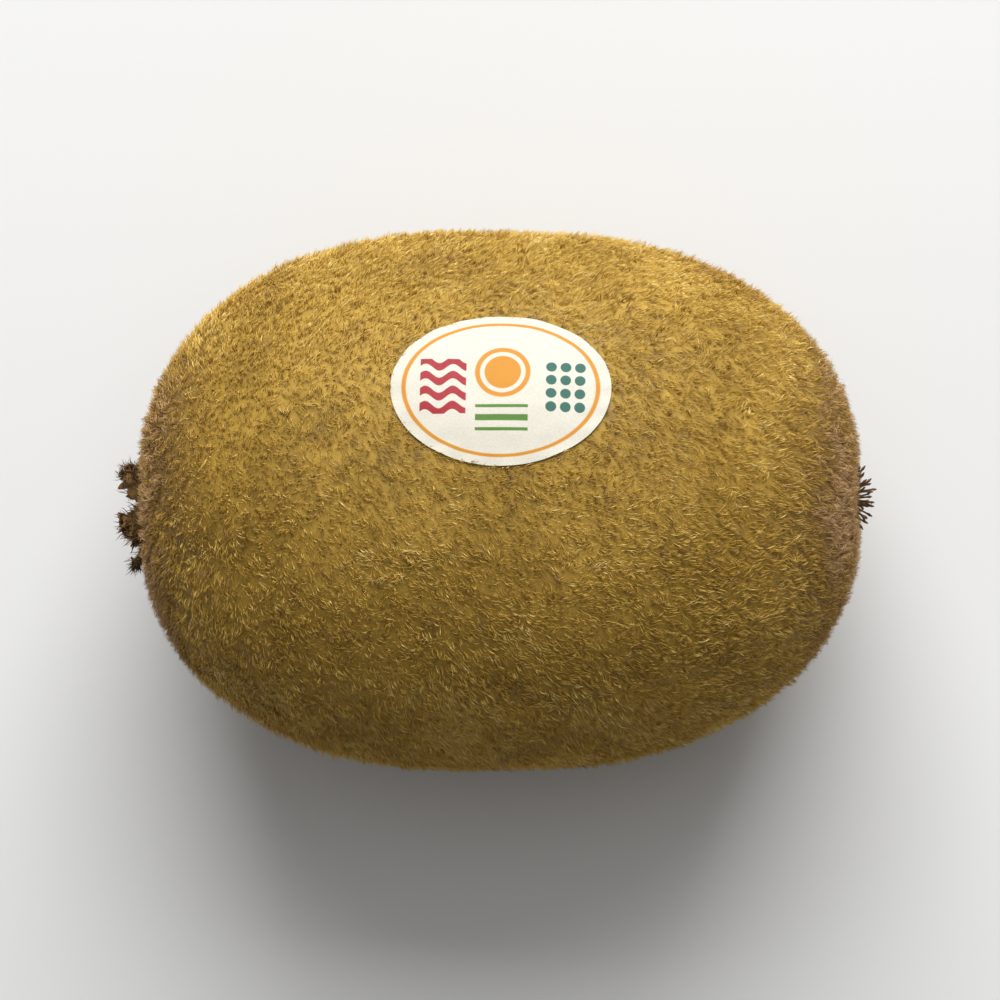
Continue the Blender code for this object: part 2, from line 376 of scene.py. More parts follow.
def oval_distance(tree, on_label, centre, size):
    """1 on the outline of an oval of the print: centre and half sizes in millimetres on the label."""
    offset = node_of(tree, "ShaderNodeVectorMath", {0: on_label, 1: (*centre, 0)}, operation="SUBTRACT")
    inputs = {0: offset.outputs[0], 1: (*size, 1)}
    shrunk = node_of(tree, "ShaderNodeVectorMath", inputs, operation="DIVIDE")
    inputs = {0: shrunk.outputs[0]}
    return node_of(tree, "ShaderNodeVectorMath", inputs, operation="LENGTH").outputs["Value"]


def patch(tree, left, right, bottom, top):
    """1 inside a rectangle of the print."""
    rows = between(tree, up_label, bottom, top, INK_EDGE)
    return math_of(tree, "MULTIPLY", between(tree, across_label, left, right, INK_EDGE), rows)


tree, place = start_material("printed film")
film_map = node_of(tree, "ShaderNodeUVMap", uv_map="OFBake").outputs["UV"]
film_size = Vector((LABEL_LENGTH, LABEL_WIDTH, 0)) / MM  # the print is laid out in millimetres
inputs = {0: film_map, 1: film_size, 2: -film_size / 2}
on_label = node_of(tree, "ShaderNodeVectorMath", inputs, operation="MULTIPLY_ADD").outputs[0]
split = node_of(tree, "ShaderNodeSeparateXYZ", {0: on_label})
across_label, up_label = split.outputs["X"], split.outputs["Y"]
film_grain = noise_of(tree, place, FILM_GRAIN_SCALE, 2)
film_mottle = ranged(tree, film_grain, 0.35, 0.65, 0.0, 0.6)
film_colour = mixed(tree, film_mottle, linear(FILM_WHITE), linear(FILM_SHADE))

whole_label = oval_distance(tree, on_label, (0, 0), film_size.xy / 2)
rim_line = between(tree, whole_label, *RIM_LINE, RIM_EDGE)
sun = oval_distance(tree, on_label, SUN_CENTRE, (SUN_RADIUS, SUN_RADIUS))
sun_disc = between(tree, sun, -1, SUN_DISC, SUN_EDGE)
sun_ring = between(tree, sun, *SUN_RING, SUN_EDGE)
swell = math_of(tree, "SINE", math_of(tree, "MULTIPLY", across_label, WAVE_PACE))
waving = math_of(tree, "MULTIPLY_ADD", swell, -WAVE_SWELL, up_label)
wave = math_of(tree, "PINGPONG", waving, WAVE_SPACING / 2)
wave_rows = between(tree, wave, WAVE_GAP, WAVE_SPACING, INK_EDGE)
waves = math_of(tree, "MULTIPLY", wave_rows, patch(tree, *WAVE_BOX))
inputs = {0: on_label, 1: (DOT_SPACING, DOT_SPACING, 1)}
dot_place = node_of(tree, "ShaderNodeVectorMath", inputs, operation="MODULO")
dot_place = node_of(tree, "ShaderNodeVectorMath", {0: dot_place.outputs[0]}, operation="ABSOLUTE")
dot_centre = (DOT_SPACING / 2, DOT_SPACING / 2)
dot = oval_distance(tree, dot_place.outputs[0], dot_centre, (DOT_RADIUS, DOT_RADIUS))
dots = math_of(tree, "MULTIPLY", between(tree, dot, -1, 1.0, DOT_EDGE), patch(tree, *DOT_BOX))
bar = math_of(tree, "PINGPONG", up_label, BAR_SPACING / 2)
bar_rows = between(tree, bar, BAR_GAP, BAR_SPACING, INK_EDGE)
bars = math_of(tree, "MULTIPLY", bar_rows, patch(tree, *BAR_BOX))
for shape, ink in (
    (rim_line, PRINT_GOLD),
    (sun_disc, PRINT_GOLD),
    (sun_ring, PRINT_GOLD),
    (waves, PRINT_RED),
    (dots, PRINT_TEAL),
    (bars, PRINT_GREEN),
):
    film_colour = mixed(tree, shape, film_colour, linear(ink))
printed_film = finish_material(
    "printed film",
    film_colour,
    ranged(tree, film_grain, 0.3, 0.7, *FILM_ROUGHNESS),
    film_grain,
    FILM_RELIEF_MM,
    Specular_IOR_Level=0.25,
)
hand_over(label, printed_film, "label", "label")


# The down: short, soft hairs that grow from the whole skin. They lie over towards the blossom end,
# swirl a little, and mat together in small locks, some paler and some browner. One hair is modelled
# as a three-sided spike, and laid out many times in ten pieces, each hair with its tone on the map.

HAIRS = 168_000
DOWN_PIECES = 10
LOCKS = 16_000
HAIR_LENGTH = 1.05 * MM
HAIR_SHORTEST = 0.45 * MM
HAIR_LONGEST = 1.8 * MM
HAIR_LENGTH_CHANCE = 0.28  # how far chance changes a length, as a power of e
HAIR_LEAN = 60  # degrees from upright, of most hairs
HAIR_LEAN_CHANCE = 12
HAIR_LEAN_LIMITS = (20, 82)
HAIR_HEADING_CHANCE = 0.24
STANDING_SHARE = 0.1  # of the hairs, which stand up out of the rest
STANDING_LEAN = (8, 34)
SPIKE_SHARE = 0.28  # of the locks, which stand up as browner spikes
SPIKE_REACH = 0.5 * MM  # how far a spike draws in the hairs round it
SPIKE_HEIGHT = (0.75, 1.25)  # of a spike's tip over the skin, in millimetres
SPIKE_RUN = (0.1, 0.6)  # along the skin, from a spike's root to its tip, in millimetres
SPIKE_PULL = (0.6, 1.0)  # of the way to the tip, how far the hairs are drawn to it
LOCK_REACH = 1.3 * MM
LOCK_HEIGHT = (0.2, 0.45)
LOCK_RUN = (0.4, 1.0)
LOCK_PULL = (0, 0.45)
LOCK_SWIRL = 0.8  # how strongly a lock follows the slow swirls
LOCK_CHANCE = 0.42  # how far chance turns it
TIP_SPREAD = 0.05 * MM  # of the hair tips that are drawn together
SWIRL_SIZE = 13 * MM
DRIFT_SIZE = 7 * MM  # of the paler and darker drifts
HAIR_RADIUS = 0.031 * MM
HAIR_RADIUS_CHANCE = 0.32
HAIR_GIRTHS = (1.0, 1.7, 0.0)  # at the root, the middle and the tip, of the radius
HAIR_MAP_ROWS = (0.03, 0.5, 0.97)  # their heights on the map
HAIR_RISE = 1.25 * MM  # no hair stands higher off the skin
HAIR_ROOT = 0.06 * MM  # how far a root is sunk in the skin
HAIR_MIDDLE = 0.47  # of its length
HAIR_BOW = 0.1  # of its length, how far that middle bows off the skin
DOWN_STANDS_OUT = 0.74 * MM  # no hair reaches further out than this beyond the solids' box
LOCK_ROOM = 0.97  # of the room up to that limit, which a lock's tip may take
HAIR_ROOM = (0.7, 1.0)  # and each hair, by chance
LABEL_CLEAR = 0.97  # of the way to the label's edge: no tip lies further in
PRESSED_RISE = 0.3 * MM  # under the sepals and round the styles
PRESSED_LENGTH = 0.6  # of the length that these hairs would have elsewhere
FLOOR_GAP = 0.02 * MM  # no hair reaches lower
FLOOR_BARE = 0.05 * MM  # no hair grows lower, where the fruit rests
SCAR_BARE = 2.9 * MM  # no hair grows this near the middle of the scar
DISC_BARE = 1.8 * MM  # nor this near the middle of the styles' disc
TUFT_CLEAR = 3.4 * MM  # round the styles, where the hair is pressed down
END_START = 0.8 * fruit_half.x  # along X from the middle
END_REACH = 11 * MM  # how far from the middle of an end its hair is longer and closer
END_LONGER = 0.45
END_CLOSER = 0.9
END_STEEPER = 14  # degrees
END_TAN_RIM_LIGHT_FROM = 32 * MM  # along X from the middle, where the hair begins to turn a duller tan that is painted paler as a painted rim light
END_TAN_RIM_LIGHT_FULL = 36.5 * MM
STEM_SIDE = -1.6 * MM  # how far in Y the stem end's scar and sepals sit from the axis
SEPALS = 5
SEPAL_TURN = math.radians(-22)  # of the first sepal, from the top of the fruit towards +Y
SEPAL_REACH = 6.4 * MM
SEPAL_SHADOW = 0.33  # of the angle between two sepals, to each side of one

CHANCE_SEED = 41
TONE_MIDDLE = 0.5  # across the map: the ends' tan with its painted rim light is at 0, brown beyond it, and pale at 1
TONE_WIDTH = 0.012  # of a hair, on its map
TONE_LIMITS = (0.03, 0.97)
TONE_CHANCE = 0.1  # of a lock, and again of each hair
DRIFT_TONE = 0.26
SPIKE_TONE = 0.08  # how much darker a spike is
THICK_TONE = 0.2  # how much paler a hair of twice the radius is
END_RIM_LIGHT_TONE = 0.48  # how far the hair of the ends lies from the middle, towards the tan with its painted rim light

# the ends' hair: a duller tan of its own, painted paler as a painted rim light
DOWN_END_TAN_AND_RIM_LIGHT = (206, 168, 118)
DOWN_SHADE = (154, 118, 48)
DOWN_BROWN = (194, 155, 66)
DOWN_TAN = (224, 187, 92)
DOWN_PALE = (242, 216, 138)

rng = np.random.default_rng(CHANCE_SEED)
noise.seed_set(CHANCE_SEED)  # the swirls would be others in each run without it

bpy.ops.mesh.primitive_cone_add(vertices=3, radius1=1, radius2=0, depth=1, location=(0, 0, 0.5))
hair = bpy.context.object
bpy.ops.object.transform_apply(location=True)
bpy.ops.object.mode_set(mode="EDIT")
bpy.ops.mesh.select_all(action="SELECT")
bpy.ops.mesh.bisect(plane_co=(0, 0, 0.5), plane_no=(0, 0, 1))
bpy.ops.object.mode_set(mode="OBJECT")
hair_points = points_of(hair.data)
hair_faces = [list(face.vertices) for face in hair.data.polygons]
bpy.data.objects.remove(hair)

skin.data.calc_loop_triangles()
skin_points = points_of(skin.data)
skin_normals = np.empty(len(skin_points) * 3)
skin.data.vertex_normals.foreach_get("vector", skin_normals)
skin_normals = skin_normals.reshape(-1, 3)
triangles = np.empty(len(skin.data.loop_triangles) * 3, dtype=int)
skin.data.loop_triangles.foreach_get("vertices", triangles)
triangles = triangles.reshape(-1, 3)
sides = skin_points[triangles]
areas = np.linalg.norm(np.cross(sides[:, 1] - sides[:, 0], sides[:, 2] - sides[:, 0]), axis=1) / 2


def unit(vectors):
    return vectors / np.maximum(np.linalg.norm(vectors, axis=1, keepdims=True), 1e-12)


def off_axis(points):
    """How far points are from the line through the middle of the scar, or of the styles."""
    side = AXIS_SIDE + np.where(points[:, 0] < 0, STEM_SIDE, 0)
    return np.hypot(points[:, 1] - side, points[:, 2] - AXIS_HEIGHT)


def under_sepals(points):
    """Whether each point of the skin lies under one of the sepals."""
    turned = np.arctan2(points[:, 1] - AXIS_SIDE - STEM_SIDE, points[:, 2] - AXIS_HEIGHT) - SEPAL_TURN
    nearest = np.abs((turned * SEPALS / math.tau + 0.5) % 1 - 0.5)
    return (nearest < SEPAL_SHADOW) & (off_axis(points) < SEPAL_REACH) & (points[:, 0] < 0)


def label_reach(points):
    """Below 1 for points that the label covers, 1 at its edge."""
    turned = np.array(label_frame.inverted().to_3x3())
    local = (points - np.array(label_frame.translation)) @ turned.T
    reach = np.hypot(local[:, 0] / (LABEL_LENGTH / 2), local[:, 1] / (LABEL_WIDTH / 2))
    return np.where(local[:, 2] > 0, reach, 9.0)


def growth(points):
    """How thickly the down grows at each point: none under the label and the dried ends."""
    away = off_axis(points)
    stem = points[:, 0] < -END_START
    blossom = points[:, 0] > END_START
    thick = np.ones(len(points))
    thick += END_CLOSER * np.exp(-((away / END_REACH) ** 2)) * (stem | blossom)
    thick[stem & (away < SCAR_BARE)] = 0
    thick[blossom & (away < DISC_BARE)] = 0
    thick[label_reach(points) < 1.0] = 0
    thick[points[:, 2] < FLOOR_BARE] = 0
    return thick


def scatter(count):
    """Random places on the skin, as thick as the down grows there: points and normals."""
    weights = areas * growth(sides.mean(axis=1))
    chosen = rng.choice(len(areas), size=count, p=weights / weights.sum())
    first, second = np.sqrt(rng.random(count)), rng.random(count)
    shares = np.stack([1 - first, first * (1 - second), first * second], axis=1)[:, :, None]
    points = (skin_points[triangles[chosen]] * shares).sum(axis=1)
    normals = unit((skin_normals[triangles[chosen]] * shares).sum(axis=1))
    return points, normals


def laid_flat(directions, normals):
    """The directions, turned to lie along the skin."""
    rise = (directions * normals).sum(axis=1, keepdims=True)
    return unit(directions - rise * normals)


def strands_of(roots, normals, tips, radius, tone):
    """What lay_hairs takes: each hair's root, middle and tip, its two sides, its girth and its tone."""
    lying = tips - roots
    bow = normals * (HAIR_BOW * np.linalg.norm(lying, axis=1))[:, None]
    across = unit(np.cross(lying, normals))
    return {
        "line": np.stack([roots - normals * HAIR_ROOT, roots + HAIR_MIDDLE * lying + bow, tips], axis=1),
        "across": across[:, None],
        "upright": unit(np.cross(across, lying))[:, None],
        "radius": radius[:, None, None],
        "tone": np.clip(tone, *TONE_LIMITS)[:, None],
    }


def lay_hairs(name, strands):
    """Lays the modelled hair along each strand, as one mesh with its map."""
    count, corners = len(strands["line"]), len(hair_points)
    up = np.round(hair_points[:, 2] * 2).astype(int)  # 0 at the root, 1 at the middle, 2 at the tip
    aside = hair_points[None, :, 0:1] * strands["across"] + hair_points[None, :, 1:2] * strands["upright"]
    girth = np.array(HAIR_GIRTHS)[up][None, :, None]
    points = strands["line"][:, up] + aside * strands["radius"] * girth
    points[:, :, 2] = np.maximum(points[:, :, 2], FLOOR_GAP)
    starts = np.arange(count)[:, None]
    loops = np.concatenate([np.array(face) for face in hair_faces])
    sizes = np.array([len(face) for face in hair_faces])
    face_starts = np.concatenate([[0], np.cumsum(sizes)[:-1]])
    mesh = bpy.data.meshes.new(name)
    mesh.vertices.add(count * corners)
    mesh.vertices.foreach_set("co", points.ravel())
    mesh.loops.add(count * len(loops))
    mesh.loops.foreach_set("vertex_index", (starts * corners + loops).ravel())
    mesh.polygons.add(count * len(sizes))
    mesh.polygons.foreach_set("loop_start", (starts * len(loops) + face_starts).ravel())
    mesh.update(calc_edges=True)
    spread = np.clip(hair_points[:, 0], -1, 1) * TONE_WIDTH
    map_u = np.clip(strands["tone"] + spread[loops], 0, 1)
    map_v = np.broadcast_to(np.array(HAIR_MAP_ROWS)[up][loops], map_u.shape)
    tone_map = mesh.uv_layers.new(name="OFBake")
    tone_map.data.foreach_set("uv", np.stack([map_u, map_v], axis=2).ravel())
    mesh.shade_smooth()
    piece = bpy.data.objects.new(name, mesh)
    bpy.context.scene.collection.objects.link(piece)
    return piece


def room_above(points, normals):
    """How far each point can go along its normal before it stands too far out of the solid's box."""
    low, high = (np.array(corner) for corner in cad_box)
    reach = np.where(normals > 0, high + DOWN_STANDS_OUT - points, points - low + DOWN_STANDS_OUT)
    return (reach / np.maximum(np.abs(normals), 1e-6)).min(axis=1)


# Each lock has its own lie, tone and tip, which the hairs round it lean towards.
lock_points, lock_normals = scatter(LOCKS)
swirls = np.array([noise.noise_vector(Vector(point) / SWIRL_SIZE) for point in lock_points])
lie = np.array([1.0, 0, 0]) + LOCK_SWIRL * swirls + rng.normal(0, LOCK_CHANCE, (LOCKS, 3))
lock_lie = laid_flat(lie, lock_normals)
spiky = rng.random(LOCKS) < SPIKE_SHARE
lock_height = np.where(spiky, rng.uniform(*SPIKE_HEIGHT, LOCKS), rng.uniform(*LOCK_HEIGHT, LOCKS)) * MM
lock_height = np.minimum(lock_height, LOCK_ROOM * room_above(lock_points, lock_normals))
lock_run = np.where(spiky, rng.uniform(*SPIKE_RUN, LOCKS), rng.uniform(*LOCK_RUN, LOCKS)) * MM
lock_tips = lock_points + lock_normals * lock_height[:, None] + lock_lie * lock_run[:, None]
drifts = np.array([noise.noise(Vector(point) / DRIFT_SIZE) for point in lock_points])
lock_tone = TONE_MIDDLE + DRIFT_TONE * drifts + rng.normal(0, TONE_CHANCE, LOCKS) - SPIKE_TONE * spiky
lock_finder = kdtree.KDTree(LOCKS)
for number, point in enumerate(lock_points):
    lock_finder.insert(point, number)
lock_finder.balance()

roots, normals = scatter(HAIRS)
roots_off_axis = off_axis(roots)
own_lock = np.array([lock_finder.find(point)[1] for point in roots])
ends = np.exp(-((roots_off_axis / END_REACH) ** 2)) * (np.abs(roots[:, 0]) > END_START)
pressed = under_sepals(roots) | (roots_off_axis < TUFT_CLEAR) & (roots[:, 0] > 0)
standing = rng.random(HAIRS) < STANDING_SHARE
length = HAIR_LENGTH * np.exp(rng.normal(0, HAIR_LENGTH_CHANCE, HAIRS)) * (1 + END_LONGER * ends)
length = np.clip(length, HAIR_SHORTEST, HAIR_LONGEST) * np.where(pressed, PRESSED_LENGTH, 1.0)
lean = np.clip(rng.normal(HAIR_LEAN, HAIR_LEAN_CHANCE, HAIRS) - END_STEEPER * ends, *HAIR_LEAN_LIMITS)
lean = np.radians(np.where(standing, rng.uniform(*STANDING_LEAN, HAIRS), lean))
heading = laid_flat(lock_lie[own_lock] + rng.normal(0, HAIR_HEADING_CHANCE, (HAIRS, 3)), normals)
highest = np.minimum(HAIR_RISE, room_above(roots, normals) * rng.uniform(*HAIR_ROOM, HAIRS))
highest = np.where(pressed, PRESSED_RISE, highest)
rise = np.minimum(length * np.cos(lean), highest)[:, None]
tips = roots + normals * rise + heading * (length * np.sin(lean))[:, None]
from_lock = np.linalg.norm(lock_points[own_lock] - roots, axis=1)
in_spike = spiky[own_lock] & (from_lock < SPIKE_REACH)
in_lock = ~spiky[own_lock] & (from_lock < LOCK_REACH)
lock_pull = np.where(in_spike, rng.uniform(*SPIKE_PULL, HAIRS), rng.uniform(*LOCK_PULL, HAIRS))
lock_pull *= (in_spike | in_lock) & ~pressed
gathered = lock_tips[own_lock] + rng.normal(0, TIP_SPREAD, (HAIRS, 3))
tips += (gathered - tips) * lock_pull[:, None]
radius = HAIR_RADIUS * np.exp(rng.normal(0, HAIR_RADIUS_CHANCE, HAIRS))
# The hair of both ends turns tan: a duller colour of its own, painted paler as a painted rim light on the
# fruit's outline.
end_rim_light = np.clip((np.abs(roots[:, 0]) - END_TAN_RIM_LIGHT_FROM) / (END_TAN_RIM_LIGHT_FULL - END_TAN_RIM_LIGHT_FROM), 0, 1)
tone = lock_tone[own_lock] + rng.normal(0, TONE_CHANCE, HAIRS) + THICK_TONE * (radius / HAIR_RADIUS - 1)
tone -= END_RIM_LIGHT_TONE * end_rim_light
free_of_label = np.flatnonzero(label_reach(tips) > LABEL_CLEAR)
along = free_of_label[np.argsort(roots[free_of_label, 0])]

tree = start_material("golden down")[0]
hair_map = node_of(tree, "ShaderNodeUVMap", uv_map="OFBake").outputs["UV"]
tone_and_height = node_of(tree, "ShaderNodeSeparateXYZ", {0: hair_map})
down_stops = [
    (0.05, DOWN_END_TAN_AND_RIM_LIGHT),
    (0.20, DOWN_SHADE),
    (0.40, DOWN_BROWN),
    (0.66, DOWN_TAN),
    (0.95, DOWN_PALE),
]
down_colour = ramp_of(tree, tone_and_height.outputs["X"], down_stops)
root_shade = ranged(tree, tone_and_height.outputs["Y"], 0.0, 0.6, 0.35, 0.0)
down_colour = mixed(tree, root_shade, down_colour, linear(DOWN_SHADE))
golden_down = finish_material("golden down", down_colour, 0.55, Specular_IOR_Level=0.3)

for number, chosen in enumerate(np.array_split(along, DOWN_PIECES)):
    strands = strands_of(roots[chosen], normals[chosen], tips[chosen], radius[chosen], tone[chosen])
    hand_over(lay_hairs(f"down_{number}", strands), golden_down, "skin")


# The calyx: the corky scar where the stalk broke off, and five dry, ragged sepals that curl away
# from the shoulder, with stiff dark fibres all over them. They are one dried, papery brown body. The
# scar is a round button with a roughened face, and each sepal is a thin leaf bent to the skin.

STEM_END = Matrix(((0, 0, -1), (0, 1, 0), (1, 0, 0))).to_4x4()  # local +Z points out of the fruit
END_PLACE = 38.5 * MM  # of the ends' own frames, from the fruit's middle
END_SHIFT = -0.115 * MM  # of the fruit along X, which centres the whole part on the frame
END_HALF_WIDTH = 28.75 * MM  # of the fruit, whose end is a rounded oval of this power
END_POWER = 2.4
STEM_HOLLOW_DEPTH = 1.5 * MM
STEM_HOLLOW_REACH = 5.0 * MM
SCAR_RADIUS = 2.7 * MM
SCAR_TOP = 0.3 * MM
SCAR_FLOOR = -1.3 * MM
SCAR_STEPS = ((0.25, 0.12), (0.45, -0.06), (0.35, -0.34), (0.4, -0.1), (0.4, 0.05), (0.35, 0.02))
RING_WANDER = 1.2 * MM  # of the pith, wood and bark rings on the broken face
CORK_SIZE = 0.8 * MM
CORK_DEPTH = 0.55 * MM
SEPAL_ROOT = 1.3 * MM
SEPAL_LENGTH = 5.8 * MM
SEPAL_HALF_WIDTH = 2.1 * MM
SEPAL_THICKNESS = 0.16 * MM
SEPAL_CURL = 2.3 * MM
SEPAL_CUP = 1.1 * MM
SEPAL_LIFT = 0.34 * MM  # off the skin, on the hair under it
SEPAL_TWIST = 38  # degrees each way, at most
SEPAL_FRAY = 1.1 * MM  # how far chance moves the tip's ragged end
SEPAL_TEAR = 0.5  # how deep the torn rim cuts in, of the half width
TIP_START = 0.7  # of the length, where the tip begins to curl back
TIP_CURL = 1.5 * MM
CRUMPLE_SIZE = 1.2 * MM
CRUMPLE_HEIGHT = 0.4 * MM

FIBRES = 190  # on each sepal
FIBRE_LENGTH = (0.45 * MM, 1.5 * MM)
FIBRE_RADIUS = 0.05 * MM
FIBRE_RISE = 0.6  # how strongly a fibre follows the leaf's own side
FIBRE_CHANCE = 0.55  # how far chance turns it
CALYX_FURTHEST = -41.5 * MM  # no fibre reaches further out in X

SEPAL_BLACK = (44, 33, 20)
SEPAL_BROWN = (98, 73, 42)
SEPAL_STRAW = (150, 116, 70)
CORK_BROWN = (96, 70, 42)
CORK_PALE = (160, 130, 92)

stem_place = Matrix.Translation((END_SHIFT - END_PLACE, AXIS_SIDE + STEM_SIDE, AXIS_HEIGHT))
stem_frame = stem_place @ STEM_END


def shoulder(radius):
    """The skin's height in an end's frame, this far from the axis, at the stem end."""
    share = radius / END_HALF_WIDTH
    drop = END_PLACE * ((1 - share**END_POWER) ** (1 / END_POWER) - 1)
    return drop - STEM_HOLLOW_DEPTH * math.exp(-((radius / STEM_HOLLOW_REACH) ** 2))


bpy.ops.mesh.primitive_cylinder_add(
    vertices=56,
    radius=SCAR_RADIUS,
    depth=SCAR_TOP - SCAR_FLOOR,
    location=(0, 0, (SCAR_TOP + SCAR_FLOOR) / 2),
    end_fill_type="NGON",
)
scar = bpy.context.object
scar.name = "stalk_scar"
bpy.ops.object.transform_apply(location=True)
bpy.ops.object.mode_set(mode="EDIT")
bpy.ops.mesh.select_mode(type="FACE")
bpy.ops.mesh.select_all(action="DESELECT")
shape = bmesh.from_edit_mesh(scar.data)
for face in shape.faces:
    face.select_set(face.normal.z > 0.9)
bmesh.update_edit_mesh(scar.data)
for inset, step_up in SCAR_STEPS:  # in millimetres, from the rim to the pith
    bpy.ops.mesh.inset(thickness=inset * MM, depth=0)
    bpy.ops.transform.translate(value=(0, 0, step_up * MM))
bpy.ops.mesh.poke()
bpy.ops.object.mode_set(mode="OBJECT")
add_modifier(scar, "SUBSURF", levels=2, render_levels=2)
add_modifier(scar, "DISPLACE", texture=cloud("cork", CORK_SIZE, 3), strength=CORK_DEPTH, mid_level=0.5)
apply_modifiers(scar)
scar.data.shade_smooth()
scar.data.transform(stem_frame)


def make_sepal(number, chance):
    """One dry leaf: narrow at the root, torn at the rim, rolled, twisted, and curled back at its tip."""
    bpy.ops.mesh.primitive_grid_add(x_subdivisions=44, y_subdivisions=24, size=2)
    sepal = bpy.context.object
    sepal.name = f"sepal_{number}"
    curl = SEPAL_CURL * chance.uniform(0.75, 1.15)
    reach = SEPAL_LENGTH * chance.uniform(0.88, 1.04)
    twist = math.radians(chance.uniform(-SEPAL_TWIST, SEPAL_TWIST))
    seed = Vector((number * 7.1, number * 3.3, 1.7))
    turn = SEPAL_TURN + math.tau * (number + 0.04 * chance.uniform(-1, 1)) / SEPALS
    for vert in sepal.data.vertices:
        share, side = (vert.co.x + 1) / 2, vert.co.y
        leaf = math.sin(math.pi * (0.08 + 0.87 * share)) ** 0.9
        tear = noise.fractal(seed + Vector((share * 11, math.copysign(4, side), 0)), 0.7, 2.0, 5)
        width = side * SEPAL_HALF_WIDTH * leaf * (1 + SEPAL_TEAR * share**0.7 * tear)
        fray = SEPAL_FRAY * share**3 * noise.fractal(seed + Vector((side * 4, 0, 5)), 0.7, 2.0, 3)
        curled_back = TIP_CURL * (max(share - TIP_START, 0) / 0.3) ** 1.5
        out = SEPAL_ROOT + reach * share + fray - curled_back
        rolled = SEPAL_CUP * (width / SEPAL_HALF_WIDTH) ** 2 * (0.3 + share)
        crumple = noise.fractal(seed + Vector((out, width, 0)) / CRUMPLE_SIZE, 0.7, 2.0, 3)
        lift = curl * share**2.2 + rolled + CRUMPLE_HEIGHT * share * crumple
        lean_over = twist * share**1.5
        lift += width * math.sin(lean_over)
        width *= math.cos(lean_over)
        lowest = shoulder(math.hypot(out, width)) + SEPAL_LIFT
        vert.co = (out, width, lowest + max(lift, 0))
    sepal.data.transform(Matrix.Rotation(turn, 4, "Z"))
    add_modifier(sepal, "SOLIDIFY", thickness=SEPAL_THICKNESS, offset=0)
    add_modifier(sepal, "SUBSURF", levels=1, render_levels=1)
    apply_modifiers(sepal)
    sepal.data.shade_smooth()
    sepal.data.transform(stem_frame)
    return sepal


tree, place = start_material("dry sepal")
veins = noise_of(tree, place, 1500, 4, 0.7)
stains = noise_of(tree, place, 420, 3)
sepal_stops = [(0.36, SEPAL_BLACK), (0.52, SEPAL_BROWN), (0.7, SEPAL_STRAW)]
sepal_colour = ramp_of(tree, mixed(tree, 0.5, veins, stains), sepal_stops)
dry_sepal = finish_material("dry sepal", sepal_colour, 0.8, veins, 0.1, Specular_IOR_Level=0.2)

tree, place = start_material("cork")
crumbs = noise_of(tree, place, 2600, 4, 0.7)
inputs = {0: place, 1: stem_frame.translation}
from_pith = node_of(tree, "ShaderNodeVectorMath", inputs, operation="SUBTRACT").outputs[0]
inputs = {0: from_pith, 1: (0, 1, 1)}
from_pith = node_of(tree, "ShaderNodeVectorMath", inputs, operation="MULTIPLY").outputs[0]
inputs = {0: from_pith}
from_pith = node_of(tree, "ShaderNodeVectorMath", inputs, operation="LENGTH").outputs["Value"]
ragged_rings = math_of(tree, "MULTIPLY_ADD", crumbs, RING_WANDER, from_pith)
ring_share = ranged(tree, ragged_rings, RING_WANDER / 2, RING_WANDER / 2 + SCAR_RADIUS)
ring_stops = [
    (0.10, SEPAL_BLACK),
    (0.24, CORK_BROWN),
    (0.48, CORK_PALE),
    (0.74, CORK_BROWN),
    (0.96, SEPAL_BLACK),
]
crumb_stops = [(0.34, SEPAL_BLACK), (0.5, CORK_BROWN), (0.68, CORK_PALE)]
ring_colour = ramp_of(tree, ring_share, ring_stops)
cork_colour = mixed(tree, 0.45, ring_colour, ramp_of(tree, crumbs, crumb_stops))
cork = finish_material("cork", cork_colour, 0.9, crumbs, 0.2, Specular_IOR_Level=0.15)

tree = start_material("dry fibre")[0]
fibre_map = node_of(tree, "ShaderNodeUVMap", uv_map="OFBake").outputs["UV"]
fibre_tone = node_of(tree, "ShaderNodeSeparateXYZ", {0: fibre_map}).outputs["X"]
fibre_colour = ramp_of(tree, fibre_tone, [(0.1, SEPAL_BLACK), (0.6, SEPAL_BROWN), (0.9, SEPAL_STRAW)])
dry_fibre = finish_material("dry fibre", fibre_colour, 0.7, Specular_IOR_Level=0.2)


def fibres_on(sepal):
    """Stiff fibres that stand on a sepal, most of them towards its tip: roots, normals and tips."""
    leaf_points = points_of(sepal.data)
    leaf_normals = np.empty(len(leaf_points) * 3)
    sepal.data.vertex_normals.foreach_get("vector", leaf_normals)
    weights = off_axis(leaf_points) ** 2
    chosen = rng.choice(len(leaf_points), size=FIBRES, p=weights / weights.sum())
    starts, sides = leaf_points[chosen], leaf_normals.reshape(-1, 3)[chosen]
    away = starts - np.array(stem_frame.translation)
    away[:, 0] = -0.5 * SEPAL_LENGTH
    spread = unit(away) + FIBRE_RISE * sides + rng.normal(0, FIBRE_CHANCE, (FIBRES, 3))
    stops = starts + unit(spread) * rng.uniform(*FIBRE_LENGTH, (FIBRES, 1))
    stops[:, 0] = np.maximum(stops[:, 0], CALYX_FURTHEST)
    return starts, sides, stops


hand_over(scar, cork, "dry_calyx", "calyx")
sepal_chance = random.Random(5)
sepals = [make_sepal(number, sepal_chance) for number in range(SEPALS)]
for sepal in sepals:
    hand_over(sepal, dry_sepal, "dry_calyx")
starts, sides, stops = (np.concatenate(parts) for parts in zip(*(fibres_on(sepal) for sepal in sepals)))
girth = FIBRE_RADIUS * rng.uniform(0.6, 1.2, len(starts))
fibres = lay_hairs("sepal_fibres", strands_of(starts, sides, stops, girth, rng.random(len(starts))))
hand_over(fibres, dry_fibre, "dry_calyx")


# The dried styles: the tuft at the blossom end, a small hard disc set with thin, dark, bent bristles
# that end in blunt knobs. One bristle is modelled, copied over a spiral, bent, and joined to the rest.

